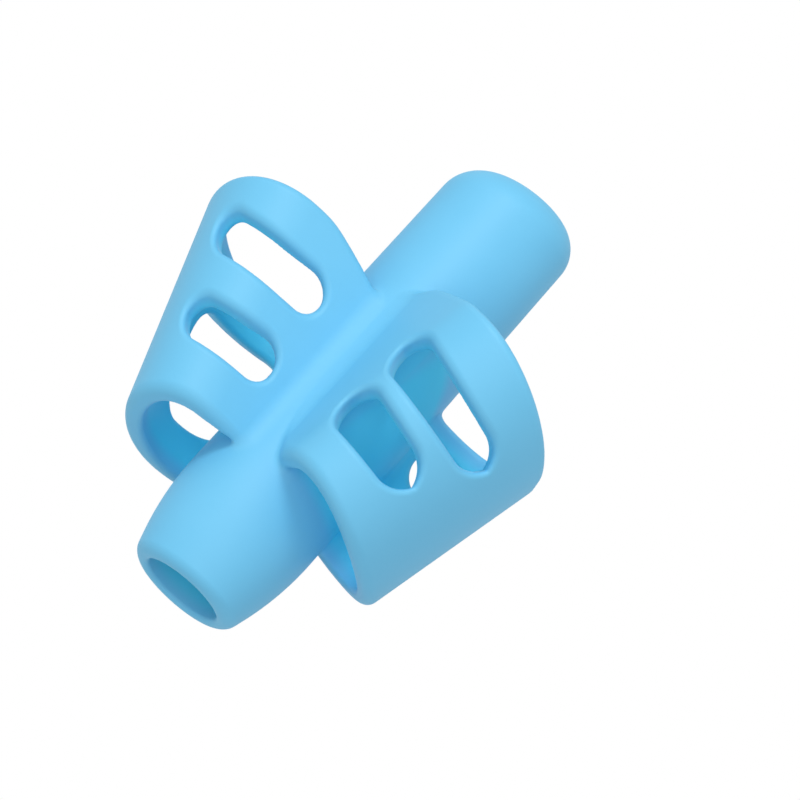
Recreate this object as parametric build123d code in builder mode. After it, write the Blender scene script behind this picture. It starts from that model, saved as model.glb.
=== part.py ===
from build123d import *
import os
from math import acos, atan2, cos, hypot, radians, sin, sqrt, tan

os.makedirs("parts", exist_ok=True)

# A soft writing grip: a tube that slips over a pencil, with an open finger cup on each side.
# X runs along the bore from the nose to the tail, Z points up through the ridge between the cups,
# and the origin is on the bore axis halfway along it. All sizes are in millimetres and degrees.

# Tube
tube_length = 48.6
bore_radius = 4.0
nose_taper_length = 6.0
nose_tip_radius = 5.5
shoulder_radius = 7.2
tail_radius = 6.7
nose_tip_round = 1.0
shoulder_round = 6.0
tail_round = 2.2
mouth_round = 0.4
nose_length = 8.0
tail_length = 14.0

# Finger cups, measured along and across the cup's own axis
cup_centre_out = 10.9
cup_centre_up = 2.8
cup_splay = 14.2
cup_rise = 5.7
taper_front = -13.6
taper_rear = 6.1
front_half_width = 6.9
rear_half_width = 8.3
front_half_height = 10.3
rear_half_height = 11.0
cup_wall = 2.0
lip_round = 0.9
inner_lip_round = 0.7
overrun = 5.0

# Ends of the cups: place on the cup's axis, and how far the top leans toward the tail
index_front_at = -13.6
index_front_lean = 5.7
thumb_front_at = -13.1
thumb_front_lean = 8.5
index_rear_at = 7.0
thumb_rear_at = 6.9
rear_lean = 15.6
floor_end_x = 4.2
floor_end_z = -1.8
floor_end_lean = 50.0

# Soft roots along the ridge: where they start and stop, and how thick they are over the finger space
ridge_half_width = 1.1
index_root_front_x = -12.2
thumb_root_front_x = -10.4
index_root_rear_x = 7.6
thumb_root_rear_x = 9.2
root_skin = 0.2
root_depth = 1.4
gap_dip = 0.3
hollow_front_x = -16.3
hollow_rear_x = 10.3
index_gap_from = 2.0
thumb_gap_from = 3.0

# Gap that lets a cup swing round the tube
swing_gap = 0.1

# Windows in the roofs: place along the cup axis, width, and the angles of the two round ends
index_front_window_at = -5.2
index_rear_window_at = 3.3
thumb_front_window_at = -4.6
thumb_rear_window_at = 1.8
front_window_width = 4.1
index_rear_window_width = 4.4
thumb_rear_window_width = 4.1
index_rear_window_lean = 16.0
thumb_rear_window_lean = 6.0
front_division_at = -5.0
rear_division_at = 2.7
rear_division_lean = 30.0
roof_height = 9.5
index_front_window_inner_end = 124.0
index_rear_window_inner_end = 129.0
thumb_front_window_inner_end = 121.0
thumb_rear_window_inner_end = 125.0
index_window_outer_end = 82.0
thumb_front_window_outer_end = 58.0
thumb_rear_window_outer_end = 38.0

# One wide window in the floor of each cup, square to the tube
index_floor_window_front_x = -9.9
index_floor_window_rear_x = 0.5
index_floor_window_corner = 3.5
index_floor_window_outer_end = -32.0
index_floor_window_inner_end = -72.0
thumb_floor_window_front_x = -3.8
thumb_floor_window_rear_x = 0.5
thumb_floor_window_corner = 2.1
thumb_floor_window_outer_end = -70.0
thumb_floor_window_inner_end = -107.5

# Worked out from the sizes above
nose_x = -tube_length / 2
tail_x = tube_length / 2
shoulder_x = nose_x + nose_taper_length
core_front_x = nose_x + nose_length
core_rear_x = tail_x - tail_length
tool_reach = 2 * (cup_centre_out + rear_half_height)
taper_length = taper_rear - taper_front
oval_points = 12


def tube_radius(x):
    """Outside radius of the tube behind the shoulder, which narrows evenly to the tail."""
    along = (x - shoulder_x) / (tail_x - shoulder_x)
    return shoulder_radius + (tail_radius - shoulder_radius) * along


def half_width(p):
    """Half the outside width of a cup at the place p along its axis."""
    return front_half_width + (rear_half_width - front_half_width) * (p - taper_front) / taper_length


def half_height(p):
    """Half the outside height of a cup at the place p along its axis."""
    return front_half_height + (rear_half_height - front_half_height) * (p - taper_front) / taper_length


# Directions of the index cup: along it, out to the side, and up
cup_along = Vector(cos(radians(cup_rise)) * cos(radians(cup_splay)),
                   cos(radians(cup_rise)) * sin(radians(cup_splay)),
                   sin(radians(cup_rise)))
cup_out = Vector(-sin(radians(cup_splay)), cos(radians(cup_splay)), 0)
cup_up = cup_along.cross(cup_out)
cup_centre = Vector(0, cup_centre_out, cup_centre_up)


def cup_plane(p, lean):
    """Plane across the index cup at p along its axis, its top leaning toward the tail."""
    normal = cup_along * cos(radians(lean)) - cup_up * sin(radians(lean))
    return Plane(origin=cup_centre + cup_along * p, x_dir=cup_out, z_dir=normal)


def floor_plane(x):
    """Plane across the tube at x, with its origin on the axis of the index cup."""
    return Plane(origin=cup_centre + cup_along * (x / cup_along.X), x_dir=(0, 1, 0), z_dir=(1, 0, 0))


def oval(width, height):
    """Smooth closed oval with these half sizes, drawn through evenly turned points."""
    turns = [radians(360 * i / oval_points) for i in range(oval_points)]
    Spline(*[(width * cos(turn), height * sin(turn)) for turn in turns], periodic=True)


def window_tool(plane, width, corner, start, end):
    """Rounded slot that runs round the plane's origin from start to end, cut outward from it."""
    straight = width - 2 * corner
    middle = (start + end) / 2
    turns = [radians(turn) for turn in (start, middle, end)]
    rim = [(tool_reach * cos(turn), tool_reach * sin(turn)) for turn in turns]
    with BuildPart() as tool:
        with BuildSketch(plane):
            with BuildLine():
                Polyline((0, 0), *rim, close=True)
            make_face()
        extrude(amount=width / 2, both=True)
        for angle in (start, end):
            radial = plane.x_dir * cos(radians(angle)) + plane.y_dir * sin(radians(angle))
            for side in (-straight / 2, straight / 2):
                end_plane = Plane(origin=plane.origin + plane.z_dir * side, x_dir=plane.z_dir, z_dir=radial)
                with BuildSketch(end_plane):
                    Circle(corner)
                extrude(amount=tool_reach)
            if straight > 0:
                middle_plane = Plane(origin=plane.origin, x_dir=plane.z_dir, z_dir=radial)
                with BuildSketch(middle_plane):
                    Rectangle(straight, 2 * corner)
                extrude(amount=tool_reach)
    return tool.part


def roof_touch(x, start, skin):
    """Point across the tube at x where a line from start touches the oval that lies skin inside a cup."""
    p = x / cup_along.X
    out = cup_centre_out + p * cup_along.Y
    up = cup_centre_up + p * cup_along.Z
    wide = half_width(p) - skin
    high = half_height(p) - skin
    across = (start[0] - out) / wide
    aloft = (start[1] - up) / high
    turn = atan2(aloft, across) - acos(1 / hypot(across, aloft))
    return (out + wide * cos(turn), up + high * sin(turn))


def on_tube(x, y):
    """Point on the top of the tube at x, y to the side of the middle."""
    return (y, sqrt(tube_radius(x) ** 2 - y ** 2))


def root_section(x):
    """Corners of the soft root in the plane across the tube at x, from the ridge up to the roof and back."""
    ridge = on_tube(x, ridge_half_width)
    top = roof_touch(x, ridge, root_skin)
    inside = roof_touch(x, ridge, root_depth)
    return ((ridge_half_width, bore_radius), ridge, top, inside, (bore_radius, bore_radius / 2))


def gap_section(x, gap_from):
    """Corners of the hollow under a roof, across the tube at x, from the tube up to the roof and back."""
    p = x / cup_along.X
    foot = on_tube(x, gap_from)
    centre = (cup_centre_out + p * cup_along.Y, cup_centre_up + p * cup_along.Z)
    return ((gap_from, 0), foot, roof_touch(x, foot, cup_wall + gap_dip), centre)


# Finger space of the index cup, longer than the cup at both ends
with BuildPart() as finger_space:
    for p in (taper_front - 2 * overrun, taper_rear + 2 * overrun):
        with BuildSketch(cup_plane(p, 0)):
            with BuildLine():
                oval(half_width(p) - cup_wall, half_height(p) - cup_wall)
            make_face()
    loft()

# Room that the tube and the swing gap take out of the cups
with BuildPart() as root_room:
    with BuildSketch(Plane.XZ):
        with BuildLine():
            Polyline((nose_x, 0), (nose_x, tube_radius(nose_x) + swing_gap),
                     (tail_x, tube_radius(tail_x) + swing_gap), (tail_x, 0), close=True)
        make_face()
    revolve(axis=Axis.X)

# Room behind the floor of a cup, which ends square to the tube and runs up to the slanted rear lip
with BuildPart() as floor_end:
    with BuildSketch(Plane.XZ):
        with BuildLine():
            rise = (tail_x - floor_end_x) / tan(radians(floor_end_lean))
            Polyline((floor_end_x, -tool_reach), (floor_end_x, floor_end_z),
                     (tail_x, floor_end_z + rise), (tail_x, -tool_reach), close=True)
        make_face()
    extrude(amount=tool_reach, both=True)

# Nose cone
with BuildPart() as nose_cone:
    with BuildSketch(Plane.XZ) as nose_profile:
        with BuildLine():
            Polyline((nose_x, bore_radius), (nose_x, nose_tip_radius), (shoulder_x, shoulder_radius),
                     (core_front_x, tube_radius(core_front_x)), (core_front_x, bore_radius), close=True)
        make_face()
        fillet(nose_profile.vertices().group_by(Axis.X)[0].sort_by(Axis.Y)[-1], nose_tip_round)
        fillet(nose_profile.vertices().group_by(Axis.X)[0].sort_by(Axis.Y)[0], mouth_round)
        fillet(nose_profile.vertices().sort_by_distance((shoulder_x, shoulder_radius))[0], shoulder_round)
    revolve(axis=Axis.X)
nose_cone.part.label = "nose_cone"
export_step(nose_cone.part, "parts/nose_cone.step")

# Middle of the tube, between the cups
with BuildPart() as grip_core:
    with BuildSketch(Plane.XZ):
        with BuildLine():
            Polyline((core_front_x, bore_radius), (core_front_x, tube_radius(core_front_x)),
                     (core_rear_x, tube_radius(core_rear_x)), (core_rear_x, bore_radius), close=True)
        make_face()
    revolve(axis=Axis.X)
grip_core.part.label = "grip_core"
export_step(grip_core.part, "parts/grip_core.step")

# Tail sleeve
with BuildPart() as tail_sleeve:
    with BuildSketch(Plane.XZ) as tail_profile:
        with BuildLine():
            Polyline((core_rear_x, bore_radius), (core_rear_x, tube_radius(core_rear_x)),
                     (tail_x, tail_radius), (tail_x, bore_radius), close=True)
        make_face()
        fillet(tail_profile.vertices().group_by(Axis.X)[-1].sort_by(Axis.Y)[-1], tail_round)
        fillet(tail_profile.vertices().group_by(Axis.X)[-1].sort_by(Axis.Y)[0], mouth_round)
    revolve(axis=Axis.X)
tail_sleeve.part.label = "tail_sleeve"
export_step(tail_sleeve.part, "parts/tail_sleeve.step")


def cup_blank(front_at, front_lean, rear_at, root_front_x, root_rear_x, gap_from):
    """Cup without windows: a tapered oval trimmed at both ends, hollowed, with round lips and a soft root."""
    with BuildPart() as roof_gap:
        for x in (hollow_front_x, hollow_rear_x):
            with BuildSketch(Plane.YZ.offset(x)):
                with BuildLine():
                    Polyline(*gap_section(x, gap_from), close=True)
                make_face()
        loft()
    with BuildPart() as root:
        for x in (root_front_x, root_rear_x):
            with BuildSketch(Plane.YZ.offset(x)):
                with BuildLine():
                    Polyline(*root_section(x), close=True)
                make_face()
        loft()
        add(finger_space.part, mode=Mode.SUBTRACT)
        add(roof_gap.part, mode=Mode.SUBTRACT)
    with BuildPart() as blank:
        for p in (taper_front - overrun, taper_rear + overrun):
            with BuildSketch(cup_plane(p, 0)):
                with BuildLine():
                    oval(half_width(p), half_height(p))
                make_face()
        loft()
        split(bisect_by=cup_plane(front_at, front_lean), keep=Keep.TOP)
        split(bisect_by=cup_plane(rear_at, rear_lean), keep=Keep.BOTTOM)
        fillet(blank.faces().filter_by(GeomType.PLANE).edges(), lip_round)
        add(finger_space.part, mode=Mode.SUBTRACT)
        rims = blank.faces().filter_by(GeomType.PLANE)
        fillet([rim.inner_wires()[0].edges()[0] for rim in rims], inner_lip_round)
        add(roof_gap.part, mode=Mode.SUBTRACT)
        add(floor_end.part, mode=Mode.SUBTRACT)
        add(root.part)
        add(root_room.part, mode=Mode.SUBTRACT)
    return blank.part


# Planes of the windows
index_rear_window_drop = roof_height * tan(radians(index_rear_window_lean))
thumb_rear_window_drop = roof_height * tan(radians(thumb_rear_window_lean))
index_front_plane = cup_plane(index_front_window_at, 0)
index_rear_plane = cup_plane(index_rear_window_at - index_rear_window_drop, index_rear_window_lean)
thumb_front_plane = cup_plane(thumb_front_window_at, 0)
thumb_rear_plane = cup_plane(thumb_rear_window_at - thumb_rear_window_drop, thumb_rear_window_lean)
index_floor_window_width = index_floor_window_rear_x - index_floor_window_front_x
thumb_floor_window_width = thumb_floor_window_rear_x - thumb_floor_window_front_x
index_floor_plane = floor_plane(index_floor_window_front_x + index_floor_window_width / 2)
thumb_floor_plane = floor_plane(thumb_floor_window_front_x + thumb_floor_window_width / 2)

# Planes through the windows where each cup is divided into its hoops and the bridge between them
front_division = cup_plane(front_division_at, 0)
rear_division = cup_plane(rear_division_at - roof_height * tan(radians(rear_division_lean)), rear_division_lean)

# Index cup with its windows
with BuildPart() as index_cup:
    add(cup_blank(index_front_at, index_front_lean, index_rear_at,
                  index_root_front_x, index_root_rear_x, index_gap_from))
    add(window_tool(index_front_plane, front_window_width, front_window_width / 2,
                    index_window_outer_end, index_front_window_inner_end), mode=Mode.SUBTRACT)
    add(window_tool(index_rear_plane, index_rear_window_width, index_rear_window_width / 2,
                    index_window_outer_end, index_rear_window_inner_end), mode=Mode.SUBTRACT)
    add(window_tool(index_floor_plane, index_floor_window_width, index_floor_window_corner,
                    index_floor_window_outer_end, index_floor_window_inner_end), mode=Mode.SUBTRACT)

# Thumb cup with its windows, which reach further down the side; drawn on the index side and mirrored below
with BuildPart() as thumb_cup:
    add(cup_blank(thumb_front_at, thumb_front_lean, thumb_rear_at,
                  thumb_root_front_x, thumb_root_rear_x, thumb_gap_from))
    add(window_tool(thumb_front_plane, front_window_width, front_window_width / 2,
                    thumb_front_window_outer_end, thumb_front_window_inner_end), mode=Mode.SUBTRACT)
    add(window_tool(thumb_rear_plane, thumb_rear_window_width, thumb_rear_window_width / 2,
                    thumb_rear_window_outer_end, thumb_rear_window_inner_end), mode=Mode.SUBTRACT)
    add(window_tool(thumb_floor_plane, thumb_floor_window_width, thumb_floor_window_corner,
                    thumb_floor_window_outer_end, thumb_floor_window_inner_end), mode=Mode.SUBTRACT)

# Front ring of the index cup
with BuildPart() as index_front_hoop:
    add(index_cup.part)
    split(bisect_by=front_division, keep=Keep.BOTTOM)
index_front_hoop.part.label = "index_front_hoop"
export_step(index_front_hoop.part, "parts/index_front_hoop.step")

# Bar between the windows of the index cup, with the side wall below it
with BuildPart() as index_bridge:
    add(index_cup.part)
    split(bisect_by=front_division, keep=Keep.TOP)
    split(bisect_by=rear_division, keep=Keep.BOTTOM)
index_bridge.part.label = "index_bridge"
export_step(index_bridge.part, "parts/index_bridge.step")

# Rear ring of the index cup
with BuildPart() as index_rear_hoop:
    add(index_cup.part)
    split(bisect_by=front_division, keep=Keep.TOP)
    split(bisect_by=rear_division, keep=Keep.TOP)
index_rear_hoop.part.label = "index_rear_hoop"
export_step(index_rear_hoop.part, "parts/index_rear_hoop.step")

# Front ring of the thumb cup
with BuildPart() as thumb_front_hoop:
    add(thumb_cup.part)
    split(bisect_by=front_division, keep=Keep.BOTTOM)
    mirror(about=Plane.XZ, mode=Mode.REPLACE)
thumb_front_hoop.part.label = "thumb_front_hoop"
export_step(thumb_front_hoop.part, "parts/thumb_front_hoop.step")

# Bar between the windows of the thumb cup, with the side wall below it
with BuildPart() as thumb_bridge:
    add(thumb_cup.part)
    split(bisect_by=front_division, keep=Keep.TOP)
    split(bisect_by=rear_division, keep=Keep.BOTTOM)
    mirror(about=Plane.XZ, mode=Mode.REPLACE)
thumb_bridge.part.label = "thumb_bridge"
export_step(thumb_bridge.part, "parts/thumb_bridge.step")

# Rear ring of the thumb cup
with BuildPart() as thumb_rear_hoop:
    add(thumb_cup.part)
    split(bisect_by=front_division, keep=Keep.TOP)
    split(bisect_by=rear_division, keep=Keep.TOP)
    mirror(about=Plane.XZ, mode=Mode.REPLACE)
thumb_rear_hoop.part.label = "thumb_rear_hoop"
export_step(thumb_rear_hoop.part, "parts/thumb_rear_hoop.step")
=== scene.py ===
import bpy
import numpy as np
from mathutils import Matrix, Vector


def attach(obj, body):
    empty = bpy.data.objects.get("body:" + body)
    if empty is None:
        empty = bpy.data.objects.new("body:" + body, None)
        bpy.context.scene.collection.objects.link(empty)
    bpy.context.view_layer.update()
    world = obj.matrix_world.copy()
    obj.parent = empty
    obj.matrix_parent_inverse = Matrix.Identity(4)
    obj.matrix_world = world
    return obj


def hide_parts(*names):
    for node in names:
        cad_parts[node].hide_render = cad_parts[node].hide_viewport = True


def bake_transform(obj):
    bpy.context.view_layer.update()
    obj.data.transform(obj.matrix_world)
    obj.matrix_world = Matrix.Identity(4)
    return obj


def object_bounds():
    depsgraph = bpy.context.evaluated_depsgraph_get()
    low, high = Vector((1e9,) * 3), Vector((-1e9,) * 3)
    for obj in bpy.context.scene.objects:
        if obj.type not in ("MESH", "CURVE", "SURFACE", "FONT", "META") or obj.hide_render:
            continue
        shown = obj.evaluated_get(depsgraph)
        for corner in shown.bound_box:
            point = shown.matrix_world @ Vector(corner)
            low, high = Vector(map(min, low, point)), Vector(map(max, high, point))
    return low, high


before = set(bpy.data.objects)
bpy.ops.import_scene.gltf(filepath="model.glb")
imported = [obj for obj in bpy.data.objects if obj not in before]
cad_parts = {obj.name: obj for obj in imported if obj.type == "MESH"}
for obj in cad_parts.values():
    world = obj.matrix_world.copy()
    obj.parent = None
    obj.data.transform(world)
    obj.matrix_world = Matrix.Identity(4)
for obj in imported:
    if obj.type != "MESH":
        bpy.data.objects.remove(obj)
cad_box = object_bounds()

MM = 0.001

# Sizes of the moulding in millimetres: the tube
nose_x, tail_x = -24.3, 24.8
shoulder_x = -18.3
bore_radius = 4.0
nose_tip_radius, shoulder_radius, tail_radius = 5.5, 7.2, 6.7
nose_tip_round, shoulder_blend, tail_round, mouth_round = 1.0, 1.2, 3.3, 0.5
tail_lean = np.radians(4.5)

# The finger cups, measured along, across and up from each cup's own axis
cup_centre_out, cup_centre_up = 10.9, 2.8
cup_splay, cup_rise = np.radians(14.2), np.radians(5.7)
front_half_width, rear_half_width = 6.85, 8.2
front_half_height, rear_half_height = 10.3, 11.0
taper_front, taper_rear = -13.6, 6.1
least_half_width, least_half_height = 3, 4
cup_wall = 2.0
lip_round, window_round, inner_round = 0.95, 0.65, 0.6
window_flare = 0.35
rear_lean = 0.28
front_tuck_from, rear_swell_from, tuck_softness = 4.5, 1.5, 1
floor_rim, floor_turn_h, floor_turn_softness, floor_turn_slope = 4.2, -5, 1, 0.6
rear_blend = 1.0
ridge_half_width, roof_depth = 1.1, 6

# The fillets between cups and tube, and the height, reach and fade of the band where the cups only graze the tube
tube_blend = 1.0
graze_z, graze_reach, graze_fade, least_blend = 1.0, 2.5, 1.5, 0.1

# Each window: its front edge and skew, its rear edge and skew, and the angles of its two ends about a centre below
# the cup's axis. The window in the floor of each cup is centred on the axis itself, and begins at floor_from to the
# side of the tube's middle.
index_cup = dict(
    front=-14.25, front_lean=0.10, front_bow=0.0105, front_tuck=0.0,
    rear=7.15, rear_swell=0.0, rear_tuck=0.55, tuck_from=5.8, gap_from=2.0, window_centre=(0.0, -6.0),
    windows=((-6.85, 0.2, -3.1, 0.16, 80.6, 116.2), (1.45, 0.24, 5.2, 0.25, 77.0, 121.7)),
    floor_window=(-9.8, 0.0, -0.15, 0.16, -110.0, -6.0), floor_from=9.6, window_corner=2.1, floor_corner=3.6)
thumb_cup = dict(
    front=-13.45, front_lean=0.15, front_bow=0.0066, front_tuck=0.25,
    rear=6.84, rear_swell=0.11, rear_tuck=0.9, tuck_from=9.8, gap_from=3.0, window_centre=(-4.0, -11.7),
    windows=((-6.97, 0.0, -2.68, -0.12, 61.2, 90.8), (-0.25, -0.05, 3.72, -0.14, 52.0, 93.3)),
    floor_window=(-3.8, 0.0, 0.5, 0.0, -119.5, -58.0), floor_from=0.0, window_corner=2.8, floor_corner=2.3)

# Where the skin is parted into pieces, and how finely it is worked out
nose_seam, tail_seam = -16.3, 12.2
grid_step = 0.25
cells_before_nose_seam, cells_below_axis = 36.5, 39
count_x, count_y, count_z = 204, 172, 102
probe = 0.02
settling_passes, least_slope = 4, 0.2
skin_tolerance = 0.05
deepest = 6


def round_meet(a, b, r):
    """Distance to what lies in both bodies: the larger of the two, its edge turned on a circle of radius r."""
    return np.minimum(np.maximum(a, b), -r) + np.hypot(np.maximum(a + r, 0), np.maximum(b + r, 0))


def soft_meet(a, b, k):
    """Distance to what lies in both of two bodies that meet at a blunt edge, evened out over a band k wide."""
    return np.maximum(a, b) + np.maximum(k - np.abs(a - b), 0) ** 2 / (4 * k)


def soft_join(a, b, k):
    """Distance to what lies in either of two bodies that meet in a valley, evened out over a band k wide."""
    return -soft_meet(-a, -b, k)


def oval(q, h, a, b):
    """Distance to an upright ellipse of half sizes a and b, to first order: k (k - 1) over the slope of k."""
    k = np.hypot(q / a, h / b)
    slope = np.hypot(q / a ** 2, h / b ** 2)
    return k * (k - 1) / np.maximum(slope, 1e-6)


def tube_radius(x):
    """Outside radius of the tube behind the shoulder: an even taper to the tail."""
    return shoulder_radius + (tail_radius - shoulder_radius) * (x - shoulder_x) / (tail_x - shoulder_x)


def tube(x, y, r):
    """The tube at x, y and radius r: a long taper met by the nose cone, closed by two rounded ends."""
    side = r - tube_radius(x)
    slope = (shoulder_radius - nose_tip_radius) / (shoulder_x - nose_x)
    cone = (r - nose_tip_radius - slope * (x - nose_x)) / np.hypot(1, slope)
    body = soft_meet(side, cone, shoulder_blend)
    body = round_meet(body, nose_x - x, nose_tip_round)
    return round_meet(body, (x - tail_x) * np.cos(tail_lean) + y * np.sin(tail_lean), tail_round)


def tapered(front, rear, p):
    """A size that changes evenly along a cup, from its front to its rear value."""
    return front + (rear - front) * (p - taper_front) / (taper_rear - taper_front)


def half_width(p):
    """Half the outside width of a cup at p along its axis, never below a finger's tip."""
    return np.maximum(tapered(front_half_width, rear_half_width, p), least_half_width)


def half_height(p):
    """Half the outside height of a cup at p along its axis, never below a finger's tip."""
    return np.maximum(tapered(front_half_height, rear_half_height, p), least_half_height)


def window(p, q, h, centre_q, centre_h, edges, corner, flare):
    """Distance to a slot through a cup's wall: what lies between two planes across the axis, the rear one set
    back by flare, and two rays from a centre."""
    front, front_skew, rear, rear_skew, start, end = edges
    side = np.maximum((front + front_skew * q - p) / np.hypot(1, front_skew),
                      (p - rear - rear_skew * q - flare) / np.hypot(1, rear_skew))
    turn = np.degrees(np.arctan2(h - centre_h, q - centre_q)) - (start + end) / 2
    turn = np.abs((turn + 180) % 360 - 180)
    ends = np.radians(turn - (end - start) / 2) * np.hypot(q - centre_q, h - centre_h)
    return round_meet(side, ends, corner)


def roofed(p, q, h, a, b, ridge_y):
    """Distance to an oval of half sizes a and b whose top runs on, along its tangent, to the tube at ridge_y
    from the ridge."""
    ridge_z = np.sqrt(tube_radius(0) ** 2 - ridge_y ** 2)
    out, rise = ridge_y - cup_centre_out, ridge_z - cup_centre_up
    flat = (p - rise * np.sin(cup_rise)) / np.cos(cup_rise)
    place = (flat - out * np.sin(cup_splay)) / np.cos(cup_splay)
    from_q = out * np.cos(cup_splay) - place * np.sin(cup_splay)
    from_h = rise * np.cos(cup_rise) - flat * np.sin(cup_rise)
    far_out = np.maximum(np.hypot(from_q / a, from_h / b), 1.001)
    touch = np.arctan2(from_h / b, from_q / a) - np.arccos(1 / far_out)
    run_q, run_h = a * np.cos(touch) - from_q, b * np.sin(touch) - from_h
    run = np.hypot(run_q, run_h)
    run_q, run_h = run_q / run, run_h / run
    above = (h - from_h) * run_q - (q - from_q) * run_h
    past = (q - from_q) * run_q + (h - from_h) * run_h
    body = oval(q, h, a, b)
    return np.where(past < run, np.minimum(body, np.maximum(np.maximum(above, -past), -above - roof_depth)), body)


def in_cup(x, y, z):
    """A place, y counted outward, as seen from a cup: along its axis, across it and up."""
    dy, dz = y - cup_centre_out, z - cup_centre_up
    flat = x * np.cos(cup_splay) + dy * np.sin(cup_splay)
    q = dy * np.cos(cup_splay) - x * np.sin(cup_splay)
    return flat * np.cos(cup_rise) + dz * np.sin(cup_rise), q, dz * np.cos(cup_rise) - flat * np.sin(cup_rise)


def cup_outside(x, p, q, h, shape):
    """Distance to the unhollowed cup: a leaning oval cone with a roof to the ridge, less its two ends."""
    body = roofed(p, q, h, half_width(p), half_height(p), ridge_half_width)
    front = shape["front"] + shape["front_lean"] * h + shape["front_bow"] * h ** 2
    front = front + shape["front_tuck"] * np.maximum(-q - front_tuck_from, 0) ** 2
    body = round_meet(body, (front - p) / np.hypot(1, shape["front_lean"]), lip_round)
    rear = shape["rear"] + rear_lean * h + shape["rear_swell"] * np.maximum(-q - rear_swell_from, 0)
    inward = -q - shape["tuck_from"]
    rear = rear - shape["rear_tuck"] * (inward + np.hypot(inward, tuck_softness)) / 2

    # the floor ends square to the tube, then turns up to the slanted lip
    above = h - floor_turn_h
    floor_slope = floor_turn_slope * (1 + above / np.hypot(above, floor_turn_softness))
    floor_end = (x - floor_rim - floor_slope * above) / np.hypot(1, floor_slope)
    return round_meet(body, soft_meet((p - rear) / np.hypot(1, rear_lean), floor_end, rear_blend), lip_round)


def cup(x, y, z, shape):
    """Distance to one cup, y counted outward: its outside, less the windows and the finger space."""
    p, q, h = in_cup(x, y, z)
    body = cup_outside(x, p, q, h, shape)
    flare = window_flare * np.clip(body + cup_wall, 0, cup_wall)
    centre_q, centre_h = shape["window_centre"]
    for edges in shape["windows"]:
        hole = np.maximum(window(p, q, h, centre_q, centre_h, edges, shape["window_corner"], flare), -h)
        body = round_meet(body, -hole, window_round)
    hole = window(p, q, h, 0.0, 0.0, shape["floor_window"], shape["floor_corner"], 0.0)
    body = round_meet(body, -round_meet(hole, shape["floor_from"] - y, shape["floor_corner"]), window_round)
    space = roofed(p, q, h, half_width(p) - cup_wall, half_height(p) - cup_wall, shape["gap_from"])
    return round_meet(body, -space, inner_round)


def depth_inside(x, y, z):
    """How deep a place lies inside either cup or the bore, in millimetres, for the painted recess shade: nothing on
    the skin that faces out.
    """
    in_index = -cup_outside(x, *in_cup(x, y, z), index_cup)
    in_thumb = -cup_outside(x, *in_cup(x, -y, z), thumb_cup)
    in_bore = np.where(np.hypot(y, z) < bore_radius + mouth_round, np.minimum(x - nose_x, tail_x - x), 0)
    return np.clip(np.maximum(np.maximum(in_index, in_thumb), in_bore), 0, deepest)


def moulding(x, y, z):
    """Distance from any point to the whole grip: tube and hollow cups joined by small fillets, less the bore.
    The fillets fade out on the sides of the tube, where the cups only graze it."""
    r = np.hypot(y, z)
    blend = tube_blend * np.clip((np.abs(z - graze_z) - graze_reach) / graze_fade, least_blend, 1)
    body = soft_join(tube(x, y, r), cup(x, y, z, index_cup), blend)
    body = soft_join(body, cup(x, -y, z, thumb_cup), blend)
    return round_meet(body, bore_radius - r, mouth_round)


def slope_of(points):
    """Gradient of the distance at each point, by central differences."""
    steps = np.eye(3) * probe
    rises = [moulding(*(points + step).T) - moulding(*(points - step).T) for step in steps]
    return np.stack([rise / (2 * probe) for rise in rises], axis=1)


# The skin is the surface of zero distance on one grid that all the pieces share. The seams run through the middle
# of cells, and the points on both sides of a seam take the distance on it, so that the pieces meet vertex to vertex.
grid_x = nose_seam + grid_step * (np.arange(count_x) - cells_before_nose_seam)
grid_y = grid_step * (np.arange(count_y) - (count_y - 1) / 2)
grid_z = grid_step * (np.arange(count_z) - cells_below_axis)


def on_seams(grid, seams):
    """The grid's coordinates, with the two points beside each seam moved on to it."""
    out = grid.copy()
    for seam in seams:
        out[np.abs(grid - seam) < grid_step * 0.6] = seam
    return out


sample_x = on_seams(grid_x, (nose_seam, tail_seam))
sample_y = on_seams(grid_y, (0.0,))
distance = moulding(sample_x[:, None, None], sample_y[None, :, None], grid_z[None, None, :])
solid = distance < 0


def cell_points():
    """A vertex for each cell that the skin crosses: the mean of its edge crossings, then moved down the slope on
    to the skin."""
    shape = tuple(n - 1 for n in distance.shape)
    total, count = np.zeros(shape + (3,)), np.zeros(shape)
    coords = (sample_x, sample_y, grid_z)
    for axis in range(3):
        others = [k for k in range(3) if k != axis]
        for corner in ((0, 0), (0, 1), (1, 0), (1, 1)):
            low = [None, None, None]
            low[axis] = slice(0, shape[axis])
            for k, c in zip(others, corner):
                low[k] = slice(c, c + shape[k])
            high = list(low)
            high[axis] = slice(1, shape[axis] + 1)
            f0, f1 = distance[tuple(low)], distance[tuple(high)]
            crossed = (f0 < 0) != (f1 < 0)
            share = np.where(crossed, f0 / np.where(crossed, f0 - f1, 1), 0)
            for k in range(3):
                view = [None, None, None]
                view[k] = slice(None)
                at = coords[k][low[k]][tuple(view)]
                if k == axis:
                    at = at + share * (coords[k][high[k]] - coords[k][low[k]])[tuple(view)]
                total[..., k] += np.where(crossed, at, 0)
            count += crossed
    hit = np.argwhere(count > 0)
    points = total[count > 0] / count[count > 0][:, None]
    middle = [(g[1:] + g[:-1]) / 2 for g in (grid_x, grid_y, grid_z)]
    held = np.zeros(points.shape, bool)
    for axis, seams in ((0, (nose_seam, tail_seam)), (1, (0.0,))):
        for seam in seams:
            layer = np.abs(middle[axis][hit[:, axis]] - seam) < grid_step * 0.1
            points[layer, axis] = seam
            held[layer, axis] = True
    for _ in range(settling_passes):
        slope = np.where(held, 0, slope_of(points))
        step = moulding(*points.T) / np.maximum((slope ** 2).sum(axis=1), least_slope)
        points -= slope * np.clip(step, -grid_step / 2, grid_step / 2)[:, None]
    cells = np.stack(np.meshgrid(*middle, indexing="ij"), axis=-1)
    cells[tuple(hit.T)] = points
    return cells


cells = cell_points()


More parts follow.
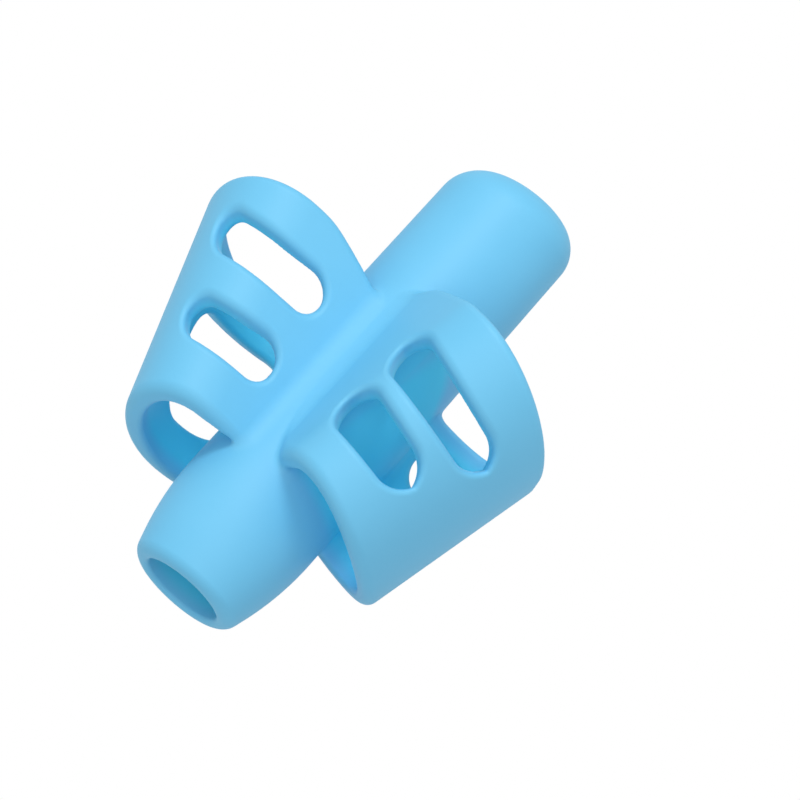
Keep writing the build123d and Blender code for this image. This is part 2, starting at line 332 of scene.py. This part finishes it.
def skin(name, x_from, x_to, y_from, y_to):
    """The closed piece of the skin between these limits: a quad for each grid edge that goes in or out of it."""
    in_x = (grid_x > x_from) & (grid_x < x_to)
    in_y = (grid_y > y_from) & (grid_y < y_to)
    inside = solid & in_x[:, None, None] & in_y[None, :, None]
    number = np.arange(cells.shape[0] * cells.shape[1] * cells.shape[2]).reshape(cells.shape[:3])
    quads = []
    for axis in range(3):
        first = np.moveaxis(inside, axis, 0)
        cell = np.moveaxis(number, axis, 0)
        leaves = first[:-1, 1:-1, 1:-1] & ~first[1:, 1:-1, 1:-1]
        enters = ~first[:-1, 1:-1, 1:-1] & first[1:, 1:-1, 1:-1]
        ring = np.stack([cell[:, :-1, :-1], cell[:, 1:, :-1], cell[:, 1:, 1:], cell[:, :-1, 1:]], axis=-1)
        if axis == 1:
            ring = ring[..., ::-1]
        quads += [ring[leaves], ring[enters][:, ::-1]]
    used, faces = np.unique(np.concatenate(quads), return_inverse=True)
    faces = faces.reshape(-1, 4)
    points = cells.reshape(-1, 3)[used]
    normals = slope_of(points)
    on_skin = np.abs(moulding(*points.T)) < skin_tolerance
    centre = points.mean(axis=0)
    normals[~on_skin] = (points - centre)[~on_skin]
    normals /= np.linalg.norm(normals, axis=1)[:, None]

    mesh = bpy.data.meshes.new(name)
    mesh.vertices.add(len(points))
    mesh.vertices.foreach_set("co", (points * MM).astype(np.float32).ravel())
    mesh.loops.add(faces.size)
    mesh.loops.foreach_set("vertex_index", faces.astype(np.int32).ravel())
    mesh.polygons.add(len(faces))
    mesh.polygons.foreach_set("loop_start", np.arange(0, faces.size, 4, dtype=np.int32))
    mesh.update(calc_edges=True)
    mesh.validate()
    mesh.polygons.foreach_set("use_smooth", np.ones(len(mesh.polygons), bool))
    mesh.normals_split_custom_set_from_vertices(normals)
    # the depth inside each place, by which the material paints a deeper shade in the cups and the bore
    depth = mesh.attributes.new("depth", "FLOAT", "POINT")
    depth.data.foreach_set("value", depth_inside(*points.T).astype(np.float32))
    piece = bpy.data.objects.new(name, mesh)
    bpy.context.scene.collection.objects.link(piece)
    return piece


def silicone_finish():
    """Satin sky-blue silicone: faint cloudy colour, a painted deeper, greener shade in the cups and the bore, a soft
    uneven gloss and the mould's fine grain."""
    material = bpy.data.materials.new("silicone_sky_blue")
    material.use_nodes = True
    nodes, links = material.node_tree.nodes, material.node_tree.links
    nodes.clear()
    out = nodes.new("ShaderNodeOutputMaterial")
    shader = nodes.new("ShaderNodeBsdfPrincipled")
    links.new(shader.outputs["BSDF"], out.inputs["Surface"])
    place = nodes.new("ShaderNodeTexCoord")

    clouds = nodes.new("ShaderNodeTexNoise")
    clouds.inputs["Scale"].default_value = 140.0
    clouds.inputs["Detail"].default_value = 3.0
    links.new(place.outputs["Object"], clouds.inputs["Vector"])
    tint = nodes.new("ShaderNodeValToRGB")
    tint.color_ramp.elements[0].position, tint.color_ramp.elements[1].position = 0.3, 0.7
    tint.color_ramp.elements[0].color = (0.146, 0.552, 0.852, 1)
    tint.color_ramp.elements[1].color = (0.158, 0.569, 0.870, 1)
    links.new(clouds.outputs["Fac"], tint.inputs["Fac"])

    # painted shade: the base colour is mixed to a deeper, greener blue inside the cups and the bore, standing in for
    # light that has come through the soft walls
    depth = nodes.new("ShaderNodeAttribute")
    depth.attribute_name = "depth"
    within = nodes.new("ShaderNodeMapRange")
    within.interpolation_type = "SMOOTHSTEP"
    within.inputs["From Min"].default_value, within.inputs["From Max"].default_value = 0.4, 2.2
    links.new(depth.outputs["Fac"], within.inputs["Value"])
    painted_recess_shade = nodes.new("ShaderNodeMix")
    painted_recess_shade.data_type = "RGBA"
    painted_recess_shade.inputs["B"].default_value = (0.095, 0.69, 0.95, 1)
    links.new(within.outputs["Result"], painted_recess_shade.inputs["Factor"])
    links.new(tint.outputs["Color"], painted_recess_shade.inputs["A"])
    links.new(painted_recess_shade.outputs["Result"], shader.inputs["Base Color"])

    gloss = nodes.new("ShaderNodeMapRange")
    gloss.inputs["To Min"].default_value, gloss.inputs["To Max"].default_value = 0.5, 0.62
    links.new(clouds.outputs["Fac"], gloss.inputs["Value"])
    links.new(gloss.outputs["Result"], shader.inputs["Roughness"])

    grain = nodes.new("ShaderNodeTexNoise")
    grain.inputs["Scale"].default_value = 2600.0
    grain.inputs["Detail"].default_value = 2.0
    links.new(place.outputs["Object"], grain.inputs["Vector"])
    bump = nodes.new("ShaderNodeBump")
    bump.inputs["Strength"].default_value = 0.05
    bump.inputs["Distance"].default_value = 0.0001
    links.new(grain.outputs["Fac"], bump.inputs["Height"])
    links.new(bump.outputs["Normal"], shader.inputs["Normal"])
    shader.inputs["IOR"].default_value = 1.5
    shine = nodes.new("ShaderNodeMapRange")
    shine.inputs["To Min"].default_value, shine.inputs["To Max"].default_value = 0.55, 0.35
    links.new(within.outputs["Result"], shine.inputs["Value"])
    links.new(shine.outputs["Result"], shader.inputs["Specular IOR Level"])
    return material


silicone = silicone_finish()
far = 100.0
nose_skin = skin("nose_skin", -far, nose_seam, -far, far)
tail_skin = skin("tail_skin", tail_seam, far, -far, far)
index_skin = skin("index_cup_skin", nose_seam, tail_seam, 0, far)
thumb_skin = skin("thumb_cup_skin", nose_seam, tail_seam, -far, 0)
for piece in (nose_skin, tail_skin, index_skin, thumb_skin):
    piece.data.materials.append(silicone)

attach(nose_skin, "barrel")
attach(tail_skin, "barrel")
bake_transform(index_skin)
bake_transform(thumb_skin)
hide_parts("nose_cone")
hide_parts("tail_sleeve")
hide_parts("grip_core", "index_front_hoop", "index_bridge", "index_rear_hoop")
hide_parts("grip_core", "thumb_front_hoop", "thumb_bridge", "thumb_rear_hoop")


# The camera: the photograph's direction, turned about its own axis, from a metre away
toward = Vector((-0.29023, -0.44942, 0.84486)).normalized()
up = Vector((0.71438, 0.48567, 0.50376))
right = up.cross(toward).normalized()
up = toward.cross(right)
aim = Vector((3.06, -2.71, -1.98)) * MM
camera = bpy.data.objects.new("camera", bpy.data.cameras.new("camera"))
camera.data.sensor_width = 36.0
camera.data.lens = 495.0
camera.data.clip_start, camera.data.clip_end = 0.05, 20.0
turned = Matrix((right, up, toward)).transposed().to_4x4()
camera.matrix_world = Matrix.Translation(aim + toward) @ turned
bpy.context.scene.collection.objects.link(camera)
bpy.context.scene.camera = camera


def white_for_the_camera(tree, surface, colour):
    """Mixes a plain white over a surface for what the camera sees of it, straight or in a gloss."""
    nodes, links = tree.nodes, tree.links
    path = nodes.new("ShaderNodeLightPath")
    seen = nodes.new("ShaderNodeMath")
    seen.operation = "MAXIMUM"
    links.new(path.outputs["Is Camera Ray"], seen.inputs[0])
    links.new(path.outputs["Is Glossy Ray"], seen.inputs[1])
    seen_through = nodes.new("ShaderNodeMath")
    seen_through.operation = "MAXIMUM"
    links.new(seen.outputs[0], seen_through.inputs[0])
    links.new(path.outputs["Is Transmission Ray"], seen_through.inputs[1])
    in_room = surface.bl_idname == "ShaderNodeBackground"
    white = nodes.new("ShaderNodeBackground" if in_room else "ShaderNodeEmission")
    white.inputs["Color"].default_value = colour
    mix = nodes.new("ShaderNodeMixShader")
    links.new(seen_through.outputs[0], mix.inputs["Fac"])
    links.new(surface.outputs[0], mix.inputs[1])
    links.new(white.outputs[0], mix.inputs[2])
    return mix


# The floor and the light: a pale floor, low enough for the cups to swing clear of it, a lamp above the tail, a
# wide one beside the camera and an even room
floor_mesh = bpy.data.meshes.new("floor")
floor_reach = 4
swing_room = 0.0022
floor_z = cad_box[0].z - swing_room
floor_corners = [(-floor_reach, -floor_reach, floor_z), (floor_reach, -floor_reach, floor_z),
                 (floor_reach, floor_reach, floor_z), (-floor_reach, floor_reach, floor_z)]
floor_mesh.from_pydata(floor_corners, [], [(0, 1, 2, 3)])
floor = bpy.data.objects.new("floor", floor_mesh)
bpy.context.scene.collection.objects.link(floor)
floor_finish = bpy.data.materials.new("floor_white")
floor_finish.use_nodes = True
tree = floor_finish.node_tree
tree.nodes.clear()
floor_out = tree.nodes.new("ShaderNodeOutputMaterial")
floor_paint = tree.nodes.new("ShaderNodeBsdfDiffuse")
floor_paint.inputs["Color"].default_value = (0.6, 0.6, 0.6, 1)
mix = white_for_the_camera(tree, floor_paint, (1, 1, 1, 1))
tree.links.new(mix.outputs[0], floor_out.inputs["Surface"])
floor_mesh.materials.append(floor_finish)

world = bpy.data.worlds.new("room")
bpy.context.scene.world = world
world.use_nodes = True
tree = world.node_tree
tree.nodes.clear()
room_out = tree.nodes.new("ShaderNodeOutputWorld")
room = tree.nodes.new("ShaderNodeBackground")
room.inputs["Color"].default_value = (1, 1, 1, 1)
room.inputs["Strength"].default_value = 0.61
mix = white_for_the_camera(tree, room, (1, 1, 1, 1))
tree.links.new(mix.outputs[0], room_out.inputs["Surface"])


def lamp(name, way, distance, size, level):
    """A square lamp aimed at the grip from this way, strong enough to light a white surface that faces it to this
    level."""
    light = bpy.data.lights.new(name, "AREA")
    light.shape = "SQUARE"
    light.size = size
    light.energy = level * (np.pi * distance) ** 2
    holder = bpy.data.objects.new(name, light)
    way = way.normalized()
    holder.location = aim + way * distance
    holder.rotation_mode = "QUATERNION"
    holder.rotation_quaternion = way.to_track_quat("Z", "Y")
    bpy.context.scene.collection.objects.link(holder)


lamp("key_lamp", Vector((0.40, 0.0, 0.91)), 0.6, 0.16, 0.37)
lamp("front_lamp", toward, 0.7, 0.5, 0.2)

bpy.context.scene.view_settings.view_transform = "Standard"
